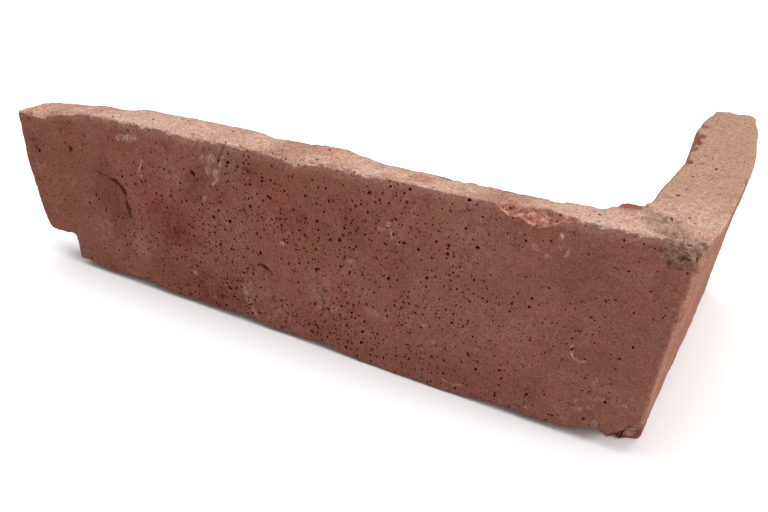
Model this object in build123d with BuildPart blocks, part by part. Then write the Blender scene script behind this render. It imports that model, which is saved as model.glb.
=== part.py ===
# Corner brick slip: an L-shaped slice sawn from the corner of an old hand-made brick.
# The long leg shows the stretcher face, the short leg the header face. Both outer faces and the
# two beds are the weathered skin of the brick, and the two inner faces are flat saw cuts.
# The slip stands on its lower bed. Millimetres, +Z up, origin at the middle of the footprint.
import os

from build123d import *

# Overall sizes of the old brick format and of the slice
stretcher_length = 250.0
header_length = 120.0
slip_height = 67.0
slip_thickness = 16.0

# Header face: a shallow outward bow, set back at the corner and falling in at its free end.
# Below the batter height it leans in towards its foot.
header_setback = 2.0
header_end_taper = 1.8
header_bow_at = 44.0
header_end_radius = 4.0
header_batter_height = 58.0
header_batter = 2.1

# Weathered arrises; the upright corner stays a little wider than the bed arrises it meets
top_arris_radius = 2.0
bottom_arris_radius = 1.6
corner_extra_radius = 0.6
free_end_radius = 1.6
inner_corner_web = 1.5

# Worn top of the long leg: it sags over this length, deepest along a flat stretch at the free end
worn_top_length = 67.0
worn_top_drop = 4.9
worn_top_flat = 11.0
worn_top_run_out = 0.03

# Free end face of the long leg: rounded at its top, and below the lean height it curves in
end_top_radius = 6.0
end_lean_height = 43.0
end_lean_depth = 5.6

# Broken lower corner of the long leg, with a blunt nib left over it and a flared foot beside it
notch_length = 23.8
notch_roof = 13.4
notch_nib_radius = 3.2
notch_roof_radius = 3.0
notch_foot_height = 5.0
notch_foot_run = 4.0

# Long shallow wear on arrises: distance of its middle from the brick corner, length and depth
left_wear_distance = 194.0
left_wear_length = 66.0
left_wear_depth = 2.1
middle_wear_distance = 131.0
middle_wear_length = 62.0
middle_wear_depth = 1.9
right_wear_distance = 24.0
right_wear_length = 66.0
right_wear_depth = 2.6
back_wear_distance = 64.0
back_wear_length = 86.0
back_wear_depth = 2.6
front_wear_distance = 118.0
front_wear_length = 22.0
front_wear_depth = 1.6

# Chips: rounded bites out of the arrises, at a distance along the face from the brick corner
foot_chip_radius = 14.0
foot_chip_depth = 7.4
spall_distance = 45.0
spall_radius = 15.0
spall_depth = 2.6
header_top_chip_radius = 16.0
header_top_chip_depth = 4.6
inner_chip_distance = 78.0
inner_chip_radius = 8.0
inner_chip_depth = 2.2

# Crescent gouge scored in the stretcher face near its free end: middle of its arc, then its tool
gouge_from_end = 44.0
gouge_height = 31.5
gouge_arc_radius = 12.8
gouge_start_angle = -12.0
gouge_arc_angle = 100.0
gouge_tool_radius = 1.2

# Planes of the outer faces, the saw cuts and the free ends
face_y = -header_length / 2
face_x = stretcher_length / 2
back_y = face_y + slip_thickness
corner_x = face_x - header_setback
back_x = corner_x - slip_thickness
free_end_x = -stretcher_length / 2
free_end_y = header_length / 2
corner_radius = top_arris_radius + corner_extra_radius
clear = 5.0
cut_through = slip_thickness + 2 * clear
behind_back = Plane.XZ.offset(-back_y - clear)
behind_end = Plane.XZ.offset(-free_end_y - clear)


def bite(place, radius, depth, away):
    """Rounded bite of the given depth: a ball whose centre lies off the arris along away."""
    lift = Vector(*away).normalized() * (radius - depth)
    with Locations(Vector(*place) + lift):
        Sphere(radius, mode=Mode.SUBTRACT)


def wear(place, length, depth, away):
    """Long shallow wear on an arris along X: an arched cutter laid across it, tipped along away."""
    tipped = Plane(Vector(*place), x_dir=(1, 0, 0), z_dir=Vector(1, 0, 0).cross(Vector(*away)))
    with BuildSketch(tipped) as arch:
        with BuildLine():
            ThreePointArc((-length / 2, 0), (0, -depth), (length / 2, 0))
            Polyline(
                (length / 2, 0), (length / 2, clear), (-length / 2, clear), (-length / 2, 0)
            )
        make_face()
    extrude(arch.sketch, amount=cut_through, both=True, mode=Mode.SUBTRACT)


with BuildPart() as corner_slip:
    # Plan: straight stretcher, bowed header, sharp saw cuts with a little web left between them
    bow_crest = (face_x, face_y + header_bow_at)
    with BuildSketch() as plan:
        with BuildLine():
            Line((free_end_x, face_y), (corner_x, face_y))
            TangentArc(bow_crest, (corner_x, face_y), tangent=(0, -1))
            TangentArc(bow_crest, (face_x - header_end_taper, free_end_y), tangent=(0, 1))
            Polyline(
                (face_x - header_end_taper, free_end_y),
                (back_x, free_end_y),
                (back_x, back_y + inner_corner_web),
                (back_x - inner_corner_web, back_y),
                (free_end_x, back_y),
                (free_end_x, face_y),
            )
        make_face()
        fillet(plan.vertices().sort_by_distance((corner_x, face_y))[0], corner_radius)
        fillet(plan.vertices().sort_by_distance((face_x, free_end_y))[0], header_end_radius)
        fillet(plan.vertices().sort_by_distance((free_end_x, face_y))[0], free_end_radius)
    extrude(amount=slip_height)

    # Round the long outer arrises of both beds
    for bed, radius in (
        (corner_slip.faces().sort_by(Axis.Z)[-1], top_arris_radius),
        (corner_slip.faces().sort_by(Axis.Z)[0], bottom_arris_radius),
    ):
        outer_arrises = [
            edge
            for edge in bed.edges()
            if (edge @ 0.5).Y < face_y + corner_radius or (edge @ 0.5).X > corner_x - corner_radius
        ]
        fillet(outer_arrises, radius)

    # Battered foot of the header face, its arris rounded like the rest of the lower bed
    foot = (face_x - header_batter, 0)
    with BuildSketch(behind_end) as battered_foot:
        with BuildLine():
            Polyline(
                foot,
                (foot[0] - clear, 0),
                (foot[0] - clear, -clear),
                (face_x + header_batter, -clear),
                (face_x + header_batter, 2 * header_batter_height),
                foot,
            )
        make_face()
        fillet(battered_foot.vertices().sort_by_distance(foot)[0], bottom_arris_radius)
    extrude(amount=header_length + 2 * clear, mode=Mode.SUBTRACT)

    # Sagging, worn top of the free end
    worn_crest = free_end_x + worn_top_length
    worn_level = slip_height - worn_top_drop
    with BuildSketch(behind_back) as worn_top:
        with BuildLine():
            Spline(
                (free_end_x - clear, worn_level),
                (free_end_x + worn_top_flat, worn_level),
                (worn_crest, slip_height),
                tangents=((1, 0), (1, worn_top_run_out)),
            )
            Polyline(
                (worn_crest, slip_height),
                (worn_crest, slip_height + clear),
                (free_end_x - clear, slip_height + clear),
                (free_end_x - clear, worn_level),
            )
        make_face()
    extrude(amount=cut_through, mode=Mode.SUBTRACT)

    # Round the top of the free end, across the leg
    with BuildSketch(behind_back) as rounded_end:
        with BuildLine():
            TangentArc(
                (free_end_x, worn_level - end_top_radius),
                (free_end_x + end_top_radius, worn_level),
                tangent=(0, 1),
            )
            Polyline(
                (free_end_x + end_top_radius, worn_level),
                (free_end_x + end_top_radius, slip_height + clear),
                (free_end_x - clear, slip_height + clear),
                (free_end_x - clear, worn_level - end_top_radius),
                (free_end_x, worn_level - end_top_radius),
            )
        make_face()
    extrude(amount=cut_through, mode=Mode.SUBTRACT)

    # Leaning free end and the broken lower corner, cut right through the leg
    nib = (free_end_x + end_lean_depth, notch_roof)
    notch_top = (free_end_x + notch_length, notch_roof)
    foot_top = (free_end_x + notch_length, notch_foot_height)
    with BuildSketch(behind_back) as broken_end:
        with BuildLine():
            TangentArc((free_end_x, end_lean_height), nib, tangent=(0, -1))
            Polyline(
                nib,
                notch_top,
                foot_top,
                (free_end_x + notch_length + notch_foot_run, 0),
                (free_end_x + notch_length + notch_foot_run, -clear),
                (free_end_x - clear, -clear),
                (free_end_x - clear, end_lean_height),
                (free_end_x, end_lean_height),
            )
        make_face()
        for corner, radius in (
            (nib, notch_nib_radius),
            (notch_top, notch_roof_radius),
            (foot_top, notch_roof_radius),
        ):
            fillet(broken_end.vertices().sort_by_distance(corner)[0], radius)
    extrude(amount=cut_through, mode=Mode.SUBTRACT)

    # Wear along the lower front arris, the upper back arris and the upper front arris
    front_foot = (0, -1, -1)
    back_top = (0, 1, 1)
    front_top = (0, -1, 1)
    for distance, y, z, length, depth, away in (
        (left_wear_distance, face_y, 0, left_wear_length, left_wear_depth, front_foot),
        (middle_wear_distance, face_y, 0, middle_wear_length, middle_wear_depth, front_foot),
        (right_wear_distance, face_y, 0, right_wear_length, right_wear_depth, front_foot),
        (back_wear_distance, back_y, slip_height, back_wear_length, back_wear_depth, back_top),
        (front_wear_distance, face_y, slip_height, front_wear_length, front_wear_depth, front_top),
    ):
        wear((face_x - distance, y, z), length, depth, away)

    # Chips: crumbled foot of the corner, spalled top, worn end of the header, broken inner edge
    bite((corner_x, face_y, 0), foot_chip_radius, foot_chip_depth, (1, -1, -1))
    bite((face_x - spall_distance, face_y, slip_height), spall_radius, spall_depth, (0, -1, 1))
    bite(
        (face_x - header_end_taper, free_end_y, slip_height),
        header_top_chip_radius,
        header_top_chip_depth,
        (1, 1, 1),
    )
    bite(
        (back_x, face_y + inner_chip_distance, slip_height),
        inner_chip_radius,
        inner_chip_depth,
        (-1, 0, 1),
    )

    # Crescent gouge: a half-round groove along an arc in the stretcher face
    with BuildLine(Plane.XZ.offset(-face_y)) as gouge_path:
        CenterArc(
            (free_end_x + gouge_from_end, gouge_height),
            gouge_arc_radius,
            gouge_start_angle,
            gouge_arc_angle,
        )
    with BuildSketch(gouge_path.line ^ 0):
        Circle(gouge_tool_radius)
    sweep(path=gouge_path.line, mode=Mode.SUBTRACT)

corner_slip.part.label = "corner_slip"

os.makedirs("parts", exist_ok=True)
export_step(corner_slip.part, "parts/corner_slip.step")
print(corner_slip.part.bounding_box(), corner_slip.part.volume, corner_slip.part.is_valid)
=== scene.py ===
import math

import bpy
import numpy as np
from mathutils import Euler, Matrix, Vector


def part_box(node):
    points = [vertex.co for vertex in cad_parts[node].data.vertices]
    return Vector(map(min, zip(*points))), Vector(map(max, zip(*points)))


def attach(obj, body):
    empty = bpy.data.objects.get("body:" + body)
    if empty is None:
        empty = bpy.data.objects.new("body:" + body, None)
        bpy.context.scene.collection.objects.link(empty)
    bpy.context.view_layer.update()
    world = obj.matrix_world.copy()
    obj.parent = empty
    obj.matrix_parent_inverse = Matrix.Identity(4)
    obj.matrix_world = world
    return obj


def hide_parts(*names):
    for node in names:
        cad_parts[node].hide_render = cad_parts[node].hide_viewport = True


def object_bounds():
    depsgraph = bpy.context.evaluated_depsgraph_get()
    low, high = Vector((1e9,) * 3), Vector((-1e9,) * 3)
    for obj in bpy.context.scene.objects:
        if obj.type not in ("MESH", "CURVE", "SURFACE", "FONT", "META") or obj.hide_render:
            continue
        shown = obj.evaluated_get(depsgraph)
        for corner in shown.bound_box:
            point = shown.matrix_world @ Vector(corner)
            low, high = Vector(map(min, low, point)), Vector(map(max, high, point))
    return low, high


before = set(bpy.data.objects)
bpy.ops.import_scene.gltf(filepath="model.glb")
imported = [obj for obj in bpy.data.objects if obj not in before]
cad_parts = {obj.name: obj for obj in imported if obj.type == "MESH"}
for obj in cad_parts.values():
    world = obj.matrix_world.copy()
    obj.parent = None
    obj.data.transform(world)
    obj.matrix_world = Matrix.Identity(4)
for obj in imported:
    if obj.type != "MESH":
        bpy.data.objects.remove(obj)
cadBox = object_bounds()
print("CAD frame loaded")

millimetre = 0.001

# The slip in millimetres, in the CAD frame: long leg along X, short leg along Y, lower bed at 0
slip = {
    "node": "corner_slip",
    "stations": (360, 9, 176),  # along the long leg, round the corner, along the short leg
    "rows": 92,  # up the outer faces
    "backRowStep": 4,  # one row on the sawn backs for this many on the outer faces
    "across": 20,  # over the beds
    "thickness": 16.0,
    "cornerSetback": 2.0,  # the upright arris stands back from the header's bow
    "cornerRadius": 1.6,  # of the upright arris
    "innerWeb": 1.2,  # little web that the two saw cuts leave between them
    "endRound": 1.2,  # of the upright arrises of the two free ends
    "notchCrowding": (0.004, 0.006),  # how strongly and how far stations crowd towards the notch
    "topArris": (1.3, 0.8),  # radius and how much it wanders
    "tightTop": (155.0, 175.0, 0.25),  # from, to and share by which the front's top arris is tighter
    "bottomArris": (1.3, 0.8),
    "backArris": (0.8, 0.7),
    "skinDepth": 0.22,  # the skin's relief lies mostly this far inside the CAD faces
    "margin": 0.02,  # and never comes nearer than this to the CAD box
    # Worn and broken places of the outline. Places along the long leg are X, heights are Z.
    "wear": {
        "frontSag": (-84.0, -114.0, 4.6),  # the top sags from the first place to the second, this deep
        "backSag": (-58.0, -128.0, 4.8),
        "crownSag": (-78.0, -112.0, 3.4),  # the middle of the bed sags less than its two edges
        "frontDips": (  # dips of the front edge of the top: place, half length, depth
            (-110, 6, 0.7),
            (-92, 4, 0.8),
            (-36, 4, 0.7),
            (8, 3.5, 0.9),
            (36, 3, 0.4),
            (80, 6, 0.5),
        ),
        "backRebate": (19.0, 31.0, 93.0, 104.0, 2.3),  # step in the back edge: from, full, full, to, depth
        "backDips": ((-78, 7, 0.9), (-8, 6, 1.0), (3, 4, 0.7), (22, 3, 0.8), (70, 14, 0.4)),
        "notchEdge": -102.0,  # wall of the notch broken out below the free end
        "notchRoof": 12.4,
        "notchCrown": (-107.5, 4.5, 1.0),  # the roof is higher here: place, half length, height
        "notchFoot": (2.8, 4.5),  # rise of the lower arris beside the notch, and how fast it fades
        "frontRise": (-30.0, 32.0, 1.6),  # the lower front arris is worn up to here, then tight again
        "bottomRises": (  # where the lower front arris is worn further up: place, half length, height
            (-90, 10, 0.2),
            (-64, 10, 1.4),
            (-40, 6, -0.4),
            (-14, 9, 1.2),
            (20, 9, 1.6),
            (56, 12, -0.6),
            (81, 6, 1.2),
            (94, 13, 1.8),
            (111, 6, 4.4),
            (121.5, 5.6, 5.0),
        ),
        # Rounding of the free end's top: from, to, depth and the share of it that the front edge gets
        "endTopFall": (-117.0, -126.5, 2.6, 0.2),
        "riseDepth": (3.0, 10.0, 0.8),  # how far in from the front face the wear fades, and by how much
        "endLean": (43.0, 30.0, 6.0, 1.35),  # top, length, depth and how its curve tightens
        "endNib": 2.6,  # how far the nib over the notch stands back
        "headerBow": (-74.0, -36.0, -2.0, 34.0, 2.3),  # rises, full, full, ends along Y, bulge at the top
        "headerEndFall": (28.0, 66.0, 5.2),  # from and to along Y, depth at the top corner
        "headerEndKnob": (47.0, 8.0, 1.0),  # height, half height and bulge of a knob on the far end
        "headerTopFall": (44.0, 62.0, 0.8),  # the top sinks towards the far end, from and to along Y
        # Bulges of the short leg's inner face at its top: place along Y, half length, height
        "backBulges": ((34, 17, 1.9), (-32, 9, 0.7), (-2, 9, -0.7)),
        # Mortar in the inner corner: place, radius, direction of its swelling, height
        "cornerLump": ((105.6, -42.6, 66.0), 4.0, (-0.78, 0.60, 0.18), 2.8),
        "topReach": 26.0,  # wear of the top fades out over this height
        "footReach": 30.0,  # and wear of the lower bed over this one
        "wobble": (1.1, 7.0),  # shakes where a worn place begins: by how much, and size of its waves
        "raggedness": (0.7, 5.0),  # depth of the broken bits along the back edge, and their size
    },
    # Marks on the skin. Those on the stretcher face have their places in X and Z.
    "marks": {
        "gouge": (  # X, Z, half width and depth along its line
            (-86.0, 45.0, 0.5, 0.4),
            (-82.6, 44.2, 0.6, 1.1),
            (-80.4, 43.6, 0.4, 0.4),
            (-78.0, 43.2, 0.6, 1.0),
            (-74.0, 42.2, 0.7, 1.5),
            (-70.0, 38.9, 0.9, 1.6),
            (-69.9, 36.8, 0.6, 0.6),
            (-70.0, 34.0, 1.2, 1.3),
            (-68.8, 29.2, 0.9, 1.0),
        ),
        "dents": (  # place, half sizes, slant in degrees, depth
            ((-96.6, 51.3), (1.4, 1.1), -30, 1.3),
            ((-101.0, 57.6), (1.3, 0.7), -50, 0.9),
            ((-88.0, 57.8), (1.4, 0.8), -30, 0.8),
            ((-89.0, 54.6), (0.8, 0.5), 0, 0.9),
            ((-5.4, 25.0), (3.0, 0.9), -24, 1.3),
            ((-13.2, 44.4), (1.8, 0.7), -30, 1.0),
            ((-11.6, 59.4), (1.6, 0.6), -42, 0.9),
            ((-116.8, 51.8), (2.4, 0.8), 14, 0.6),
            ((-119.0, 50.6), (0.9, 1.1), 0, 0.6),
            ((-118.0, 48.3), (1.6, 0.8), -40, 0.8),
            ((-115.8, 47.5), (1.3, 0.7), 6, 0.7),
            ((-75.5, 36.5), (3.6, 0.7), -62, 0.5),
            ((-77.4, 25.0), (2.6, 0.8), -38, 0.5),
            ((-20.8, 65.4), (2.4, 0.4), 62, 0.8),
            ((-22.7, 61.6), (1.8, 0.4), 72, 0.8),
            ((-16.0, 16.6), (1.6, 0.7), 0, 0.9),
            ((-12.0, 11.0), (1.4, 0.6), 40, 0.7),
            ((6.6, 27.2), (1.4, 0.7), 0, 0.7),
            ((16.2, 8.4), (2.4, 0.8), 0, 0.8),
            ((119.0, 63.0), (0.9, 1.1), 0, 1.1),
            ((116.4, 60.6), (1.0, 0.7), -30, 1.0),
        ),
        "hollows": (  # broad and shallow: place, half sizes, slant in degrees, depth
            ((-77.0, 36.5), (9.0, 4.0), -50, 0.6),
            ((-30.0, 24.0), (8.0, 3.0), -35, 0.4),
            ((60.0, 20.0), (18.0, 5.0), 10, 0.3),
            ((-50.0, 48.0), (10.0, 5.0), 20, 0.3),
        ),
        "wine": (  # wine-red patches: place, half sizes, strength
            ((-45, 28), (10, 7), 1.0),
            ((-52, 35), (7, 5), 0.6),
            ((-33, 47), (9, 6), 0.75),
            ((-29, 7), (15, 8), 0.9),
            ((97, 45), (7, 4), 0.5),
            ((24, 46), (30, 10), 0.30),
            ((72, 12), (26, 8), 0.35),
        ),
        "shade": (  # darker ones: painted shade in and round the gouge and some of the dents; the rest mark other darker places of the skin, one a band low along the foot
            ((-80, 34), (8, 8), 1.0),
            ((-73, 29), (5, 6), 0.8),
            ((-96.6, 50), (2.6, 2.6), 0.7),
            ((-117, 49), (4, 5), 0.5),
            ((-12, 58), (8, 3), 0.4),
            ((-32, 48), (8, 5), 0.7),
            ((97, 53), (10, 8), 0.8),
            ((-52, 12), (9, 8), 0.5),
            ((113, 34), (12, 24), 0.4),
            ((80, 44), (10, 8), 0.4),
            ((60, 6), (45, 4), 0.4),
        ),
        "tan": (  # tan ones
            ((-104, 36), (20, 24), 1.0),
            ((-4, 60), (26, 6), 0.6),
            ((60, 40), (22, 14), 0.4),
            ((112, 34), (8, 18), 0.4),
        ),
        "bedTones": (  # along the long bed: place, half length, rubbed (above 0) or sandier (below 0)
            (-108, 16, 0.45),
            (-58, 22, -0.7),
            (-22, 9, -0.4),
            (2, 8, 0.8),
            (20, 8, -0.2),
            (72, 9, 0.9),
            (98, 10, -0.8),
        ),
        # Where the sand hangs lower over the front: place, half length, share of the rim
        "sandHangs": ((7.0, 7.0, 0.15), (29.0, 6.0, 0.07), (-99.0, 5.0, 0.05)),
        "mortar": ((103, -43, 67), (111, -51, 67), (117.5, -58, 67), (118, -61, 63.5)),  # its middle line
        "mortarWidth": 4.2,  # to either side of that line
        "crusts": (  # dark crusty lumps: place, radius, swelling outwards
            ((118.2, -59.2, 4.8), 2.6, (0.1, -0.5, -2.2)),
            ((121.9, -58.3, 66.0), 1.3, (0.3, -0.4, 0.0)),
            ((103.0, -44.4, 66.6), 2.4, (-0.5, 0.4, 0.3)),
        ),
    },
    # Rounded bites: centre, radius, direction in which the stuff was knocked away
    "bites": (
        ((129.2, -64.1, -1.5), 16.0, (0.61, -0.57, -0.55)),
        ((84, -62.5, 70), 8.0, (0, -0.8, 1)),
        ((77, -62.0, 69.5), 6.0, (0, -0.9, 1)),
        ((91, -62.0, 70), 5.0, (0, -0.9, 1)),
        ((-117, -61.5, 64.0), 3.6, (0, -1, 1)),
        ((-109, -61.5, 64.4), 3.8, (0, -1, 1)),
        ((-102, -61.5, 66.2), 3.4, (0, -1, 1)),
        ((105.6, 3, 68.2), 3.0, (-1, 0, 1)),
        ((105.2, 11, 67.8), 3.8, (-1, 0, 1)),
        ((104.8, 18, 67.2), 4.2, (-1, 0, 1)),
        ((105.4, 25, 68.0), 3.4, (-1, 0, 1)),
        ((107.0, -1.5, 67.6), 2.6, (-1, 0, 1)),
        ((105.6, -14, 68.6), 2.8, (-1, 0, 1)),
        ((105.4, 36, 68.2), 2.8, (-1, 0, 1)),
    ),
    # Relief of the skin: height, then size of its widest waves
    "relief": {
        "swell": (0.35, 42.0),
        "lumps": (0.20, 11.0),
        "grain": (0.10, 2.2),
        "pocks": (0.35, 6.5, 14.0),  # the last is the size of the patches they keep to
        "nibble": (1.1, 5.5),  # bitten out of the arrises
        "crumbs": (0.9, 2.2, 0.25),  # of the mortar, and how deep they sit in it
        "bites": ((0.40, 2.2), (0.18, 1.0)),  # torn surface of the bites, coarse and fine
        "bedGrain": 1.8,  # how much coarser the grain is on the beds
        "brokenGrain": 2.5,  # and in the bites
        "sawnGrain": 0.05,  # what is left of it on the saw cuts
    },
}
wear, marks, relief = slip["wear"], slip["marks"], slip["relief"]

# Masks that the mesh hands to its material, each 0 to 1 on every vertex but for bedTone and scored
paintedMasks = (
    "sawn",
    "bed",
    "header",
    "broken",
    "wine",
    "tan",
    "shade",
    "mortar",
    "crust",
    "scored",
    "rim",
    "shortBed",
    "bedTone",
    "sandHang",
)


def hashLattice(ix, iy, iz, seed):
    # Integer hash of a lattice point, spread over 32 bits
    mixed = (
        ix.astype(np.int64) * 374761393
        + iy.astype(np.int64) * 668265263
        + iz.astype(np.int64) * 1440662683
        + seed * 982451653
    ) & 0xFFFFFFFF
    mixed = ((mixed ^ (mixed >> 13)) * 1274126177) & 0xFFFFFFFF
    return mixed ^ (mixed >> 16)


def gradientNoise(points, size, seed):
    # Gradient noise of about -1 to 1: random slopes on a lattice of the given size, smoothly blended
    scaled = points / size
    cell = np.floor(scaled)
    inside = scaled - cell
    fade = inside**3 * (inside * (inside * 6 - 15) + 10)
    total = np.zeros(len(points))
    for corner in np.ndindex(2, 2, 2):
        step = np.array(corner)
        code = hashLattice(*(cell + step).T, seed)
        slope = np.stack([(code >> shift) & 1023 for shift in (0, 10, 20)], 1) / 511.5 - 1
        weight = np.prod(np.where(step, fade, 1 - fade), axis=1)
        total += weight * np.sum(slope * (inside - step), axis=1)
    return total * 1.5


def layeredNoise(points, size, layers, seed, gain=0.5):
    # Sum of gradient noises, each half the size of the one before
    return sum(
        gain**layer * gradientNoise(points, size / 2**layer, seed + 17 * layer)
        for layer in range(layers)
    )


def smoothStep(value, low, high):
    # S-curve: 0 up to low, 1 from high on, 3t^2 - 2t^3 between
    part = np.clip((value - low) / (high - low), 0, 1)
    return part * part * (3 - 2 * part)


def bell(value, centre, halfWidth):
    # Bell curve: 1 at its centre, 1/e at its half width
    return np.exp(-(((value - centre) / halfWidth) ** 2))


def crowdEnds(share, pull=0.45):
    # Spreads even steps so that they are finer near both arrises
    return share - pull * np.sin(2 * math.pi * share) / (2 * math.pi)


def roundedEdge(share, length, startRadius, endRadius):
    # A straight edge between two quarter rounds, each walked from its middle.
    # Gives the place along the edge and how far in from it, for a share 0 to 1 of the whole walk.
    startArc = startRadius * math.pi / 4
    endArc = endRadius * math.pi / 4
    straight = length - startRadius - endRadius
    walked = share * (startArc + straight + endArc)
    startTurn = np.clip(1 - walked / startArc, 0, 1) * math.pi / 4
    endTurn = np.clip((walked - startArc - straight) / endArc, 0, 1) * math.pi / 4
    onStraight = np.clip(walked - startArc, 0, straight)
    along = startRadius * (1 - np.sin(startTurn)) + onStraight + endRadius * np.sin(endTurn)
    inward = startRadius * (1 - np.cos(startTurn)) + endRadius * (1 - np.cos(endTurn))
    return along, inward


def legPath(low, high):
    # Outer and inner line of the L in plan, station by station, and how near each is to a free end
    longCount, cornerCount, shortCount = slip["stations"]
    radius = slip["cornerRadius"]
    web = slip["innerWeb"]
    endRound = slip["endRound"]
    cornerX = high.x - slip["cornerSetback"]
    backX = cornerX - slip["thickness"]
    backY = low.y + slip["thickness"]
    turn = np.linspace(0, math.pi / 2, 6)
    endSteps = endRound * (1 - np.cos(turn))
    longLength = cornerX - radius - low.x
    notchPlace = wear["notchEdge"] - low.x
    dense = np.linspace(0, 1, longCount)
    # Stations crowd towards the wall of the broken notch
    pull, reach = slip["notchCrowding"]
    spread = dense - pull * np.tanh((dense - notchPlace / longLength) / reach)
    spread = (spread - spread[0]) / (spread[-1] - spread[0])
    longRun = np.concatenate([endSteps[:-1], endRound + (longLength - endRound) * spread])
    arc = np.linspace(0, math.pi / 2, cornerCount + 2)[1:-1]
    shortLength = high.y - low.y - radius
    shortRun = (shortLength - endRound) * np.linspace(0, 1, shortCount)
    shortRun = np.concatenate([shortRun, shortLength - endSteps[:-1][::-1]])
    outer = np.concatenate(
        [
            np.stack([low.x + longRun, np.full(len(longRun), low.y)], 1),
            np.stack([cornerX - radius * (1 - np.sin(arc)), low.y + radius * (1 - np.cos(arc))], 1),
            np.stack([np.full(len(shortRun), cornerX), low.y + radius + shortRun], 1),
        ]
    )
    innerLong = (backX - web - low.x) * longRun / longLength
    innerShort = (high.y - backY - web) * shortRun / shortLength
    inner = np.concatenate(
        [
            np.stack([low.x + innerLong, np.full(len(longRun), backY)], 1),
            np.stack([backX - web * (1 - np.sin(arc)), backY + web * (1 - np.cos(arc))], 1),
            np.stack([np.full(len(shortRun), backX), backY + web + innerShort], 1),
        ]
    )
    walked = np.concatenate([longRun, np.full(len(arc), longLength), longLength + shortRun])
    fromEnd = np.minimum(walked, walked[-1] - walked)
    near = np.clip(endRound - fromEnd, 0, endRound)
    shrink = endRound - np.sqrt(np.maximum(endRound**2 - near**2, 0))
    return outer, inner, walked, shrink


def buildSlip():
    # Plain L as one grid: a rounded section loop carried along the plan, closed at both free ends.
    # Each point lies between the outer and the inner line of the plan, by its share of the thickness.
    low, high = (Vector(c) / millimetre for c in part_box(slip["node"]))
    height = high.z - low.z
    thick = slip["thickness"]
    outer, inner, walked, shrink = legPath(low, high)
    stations = len(walked)
    rows = slip["rows"]
    step = slip["backRowStep"]
    backRows = rows // step
    across = slip["across"]

    # Each arris has its own radius at every station, wandering along the path
    line = np.stack([walked, np.zeros(stations), np.zeros(stations)], 1)
    radii = []
    for seed, (radius, wander) in enumerate(
        (slip["topArris"], slip["bottomArris"], slip["backArris"], slip["backArris"])
    ):
        walk = layeredNoise(line + 31.7 * seed, 16, 3, 40 + seed)
        radii.append(np.maximum(radius + wander * walk, 0.35)[:, None])
    topRadius, bottomRadius, backTop, backBottom = radii
    start, full, share = slip["tightTop"]
    corner = high.x - low.x
    tight = smoothStep(walked, start, full) * (1 - smoothStep(walked, corner, corner + 8))
    topRadius = topRadius * (1 - share * tight[:, None])

    # Section loop of every station: up the outer face, over the top bed, down the back, along the bottom
    upShare = crowdEnds(np.linspace(0, 1, rows + 1))[None]
    overShare = crowdEnds(np.linspace(0, 1, across + 1))[None, 1:-1]
    downShare = crowdEnds(np.linspace(0, 1, backRows + 1))[None]
    upAlong, upIn = roundedEdge(upShare, height, bottomRadius, topRadius)
    overAlong, overIn = roundedEdge(overShare, thick, topRadius, backTop)
    downAlong, downIn = roundedEdge(downShare, height, backTop, backBottom)
    underAlong, underIn = roundedEdge(overShare, thick, backBottom, bottomRadius)
    depth = np.concatenate([upIn, overAlong, thick - downIn, thick - underAlong], 1)
    level = np.concatenate([upAlong, height - overIn, height - downAlong, underIn], 1)
    loop = depth.shape[1]
    depth = depth + (thick / 2 - depth) / (thick / 2) * shrink[:, None]
    level = level + (height / 2 - level) / (height / 2) * shrink[:, None]

    # Unrolled skin: distance along the legs, and round the section from the lower front arris
    gaps = np.hypot(np.diff(depth, axis=1, append=depth[:, :1]), np.diff(level, axis=1, append=level[:, :1]))
    wound = np.cumsum(gaps, axis=1) - gaps
    underStart = rows + across + backRows + 1
    wound[:, underStart:] -= gaps.sum(axis=1, keepdims=True)
    skinWalk = np.concatenate([[0], np.cumsum(np.linalg.norm(np.diff(outer, axis=0), axis=1))])
    unrolled = np.stack([np.repeat(skinWalk[:, None], loop, 1), wound], 2).reshape(-1, 2)

    share = (depth / thick)[..., None]
    plan = outer[:, None] * (1 - share) + inner[:, None] * share
    points = np.concatenate([plan, level[..., None] + low.z], 2).reshape(-1, 3)
    along = np.repeat(walked, loop)
    depthShare = share.reshape(-1)

    # End caps: a grid that fills each free end between the outer face and the sawn back
    caps = []
    capFaces = []
    capUnrolled = []
    grid = np.arange(stations * loop).reshape(stations, loop)
    nextCol = np.roll(grid, -1, axis=1)
    faces = np.stack([grid[:-1], grid[1:], nextCol[1:], nextCol[:-1]], -1).reshape(-1, 4)
    outerColumn = np.arange(rows + 1)
    topRow = np.arange(rows + 1, rows + across)
    backColumn = np.arange(rows + across, rows + across + backRows + 1)[::-1]
    underRow = np.arange(rows + across + backRows + 1, loop)[::-1]
    count = stations * loop
    triangles = []
    for station, flip in ((0, False), (stations - 1, True)):
        ring = grid[station]
        # Inside of the cap: one point for each outer row and each step across, all but the rims
        left = points[ring[outerColumn[1:-1]]]
        backLevels = np.linspace(0, 1, rows + 1)[1:-1] * backRows
        backLine = points[ring[backColumn]]
        whole = np.minimum(backLevels.astype(int), backRows - 1)
        part = (backLevels - whole)[:, None]
        right = backLine[whole] * (1 - part) + backLine[whole + 1] * part
        mixShare = np.linspace(0, 1, across + 1)[1:-1][None, :, None]
        inside = left[:, None] * (1 - mixShare) + right[:, None] * mixShare
        caps.append(inside.reshape(-1, 3))
        beyond = (1 if flip else -1) * thick * mixShare[..., 0] + skinWalk[station]
        capUnrolled.append(np.stack(np.broadcast_arrays(beyond, inside[..., 2]), 2).reshape(-1, 2))
        ids = np.empty((rows + 1, across), int)
        ids[:, 0] = ring[outerColumn]
        ids[1:-1, 1:] = count + np.arange((rows - 1) * (across - 1)).reshape(rows - 1, across - 1)
        ids[0, 1:] = ring[underRow]
        ids[-1, 1:] = ring[topRow]
        count += (rows - 1) * (across - 1)
        quads = np.stack([ids[:-1, :-1], ids[:-1, 1:], ids[1:, 1:], ids[1:, :-1]], -1).reshape(-1, 4)
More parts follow.
